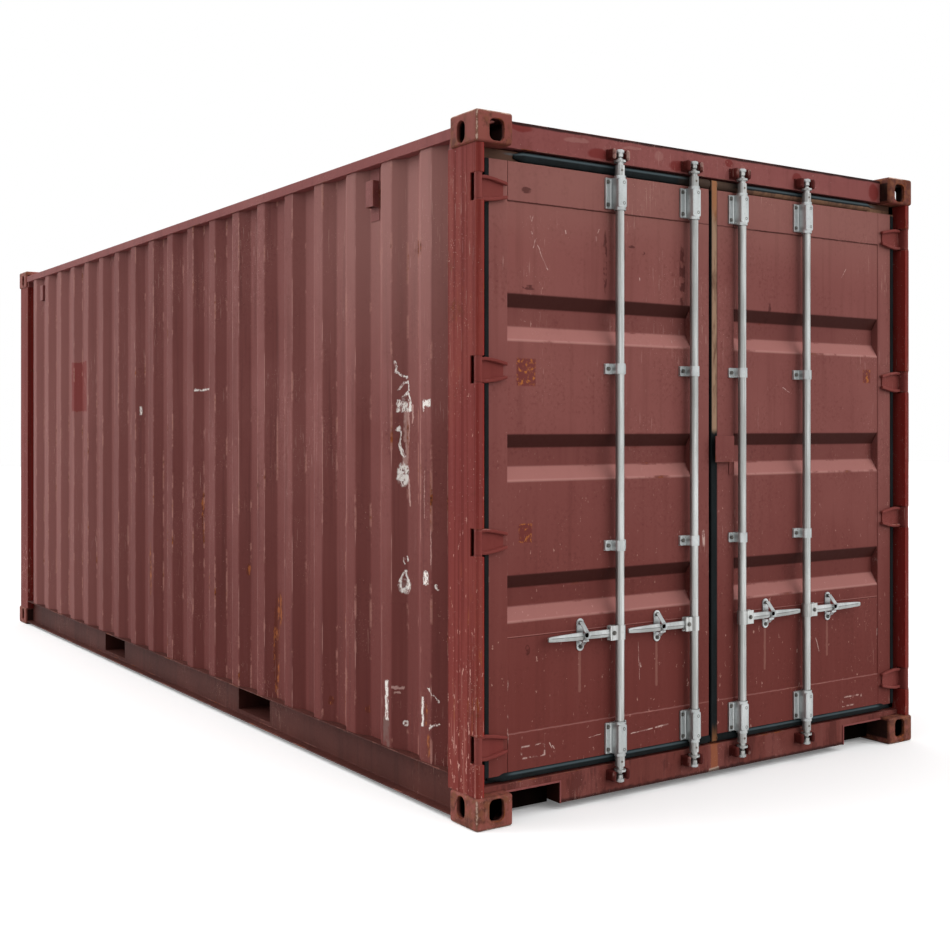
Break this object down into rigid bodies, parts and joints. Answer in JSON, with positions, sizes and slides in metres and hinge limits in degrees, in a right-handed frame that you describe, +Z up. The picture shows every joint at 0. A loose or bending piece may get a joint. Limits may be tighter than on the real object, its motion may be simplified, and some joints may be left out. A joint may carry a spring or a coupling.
{
  "type": "twenty foot dry freight shipping container",
  "caption": "Steel freight container with folded walls, corner castings and two hinged end doors, each with lock bars and handles.",
  "frame": {"origin": "on the ground, under the middle of the container", "axes": "+X along the length and out of the doors, +Y to the right as the doors are faced, +Z up"},
  "size_m": [6.058, 2.438, 2.591],
  "materials": {
    "castings": "worn and rusty maroon paint",
    "frame_paint": "worn dark red paint, rust along edges",
    "wall_paint": "dull faded maroon paint with scratches",
    "door_paint": "dull faded maroon paint with scratches",
    "rail_paint": "dark brown red paint, dusty",
    "keeper_paint": "dark red paint over forged steel",
    "galvanised": "weathered hot dip galvanised",
    "rubber": "black door seal, dusty",
    "plywood": "worn varnished plywood",
    "pin_steel": "bare worn steel"
  },
  "bodies": {
    "frame": {"corner_castings": "castings", "door_post_left": "frame_paint", "door_post_right": "frame_paint", "end_post_left": "frame_paint", "end_post_right": "frame_paint", "hinge_lugs": "frame_paint", "hinge_pins": "pin_steel", "door_header": "frame_paint", "door_sill": "frame_paint", "end_header": "frame_paint", "end_sill": "rail_paint", "end_wall": "wall_paint", "side_wall_left": "wall_paint", "side_wall_right": "wall_paint", "bottom_rail_left": "rail_paint", "bottom_rail_right": "rail_paint", "top_rail_left": "frame_paint", "top_rail_right": "frame_paint", "roof_panel": "wall_paint", "floor": "plywood", "cross_members": "rail_paint", "fork_pockets": "rail_paint", "ventilators": "wall_paint", "cam_keepers": "keeper_paint"},
    "left_door": {"left_door_stiles": "door_paint", "left_door_rails": "door_paint", "left_door_panel": "door_paint", "left_door_hinge_blades": "frame_paint", "left_door_bar_brackets": "galvanised", "left_door_handle_retainers": "galvanised", "left_door_seal": "rubber"},
    "right_door": {"lock_plate": "door_paint", "right_door_stiles": "door_paint", "right_door_rails": "door_paint", "right_door_panel": "door_paint", "right_door_hinge_blades": "frame_paint", "right_door_bar_brackets": "galvanised", "right_door_handle_retainers": "galvanised", "right_door_seal": "rubber"},
    "lock_bar_left_inner": {"lock_bar_left_inner": "galvanised"},
    "handle_left_inner": {"handle_left_inner": "galvanised"},
    "lock_bar_left_outer": {"lock_bar_left_outer": "galvanised"},
    "handle_left_outer": {"handle_left_outer": "galvanised"},
    "lock_bar_right_inner": {"lock_bar_right_inner": "galvanised"},
    "handle_right_inner": {"handle_right_inner": "galvanised"},
    "lock_bar_right_outer": {"lock_bar_right_outer": "galvanised"},
    "handle_right_outer": {"handle_right_outer": "galvanised"}
  },
  "joints": [
    {"name": "left_door_hinge", "type": "hinge", "parent": "frame", "child": "left_door", "pos_m": [3.007, -1.197, 1.2], "axis": [0, 0, -1], "range_deg": [0, 265]},
    {"name": "right_door_hinge", "type": "hinge", "parent": "frame", "child": "right_door", "pos_m": [3.007, 1.197, 1.2], "axis": [0, 0, 1], "range_deg": [0, 265]},
    {"name": "left_inner_bar_turn", "type": "hinge", "parent": "left_door", "child": "lock_bar_left_inner", "pos_m": [3.006, -0.137, 1.3], "axis": [0, 0, -1], "range_deg": [-100, 0]},
    {"name": "left_inner_handle_lift", "type": "hinge", "parent": "lock_bar_left_inner", "child": "handle_left_inner", "pos_m": [3.006, -0.175, 0.655], "axis": [1, 0, 0], "range_deg": [-25, 0]},
    {"name": "left_outer_bar_turn", "type": "hinge", "parent": "left_door", "child": "lock_bar_left_outer", "pos_m": [3.006, -0.53, 1.3], "axis": [0, 0, -1], "range_deg": [-100, 0]},
    {"name": "left_outer_handle_lift", "type": "hinge", "parent": "lock_bar_left_outer", "child": "handle_left_outer", "pos_m": [3.006, -0.568, 0.655], "axis": [1, 0, 0], "range_deg": [-25, 0]},
    {"name": "right_inner_bar_turn", "type": "hinge", "parent": "right_door", "child": "lock_bar_right_inner", "pos_m": [3.006, 0.137, 1.3], "axis": [0, 0, 1], "range_deg": [-100, 0]},
    {"name": "right_inner_handle_lift", "type": "hinge", "parent": "lock_bar_right_inner", "child": "handle_right_inner", "pos_m": [3.006, 0.175, 0.655], "axis": [-1, 0, 0], "range_deg": [-25, 0]},
    {"name": "right_outer_bar_turn", "type": "hinge", "parent": "right_door", "child": "lock_bar_right_outer", "pos_m": [3.006, 0.53, 1.3], "axis": [0, 0, 1], "range_deg": [-100, 0]},
    {"name": "right_outer_handle_lift", "type": "hinge", "parent": "lock_bar_right_outer", "child": "handle_right_outer", "pos_m": [3.006, 0.568, 0.655], "axis": [-1, 0, 0], "range_deg": [-25, 0]}
  ]
}
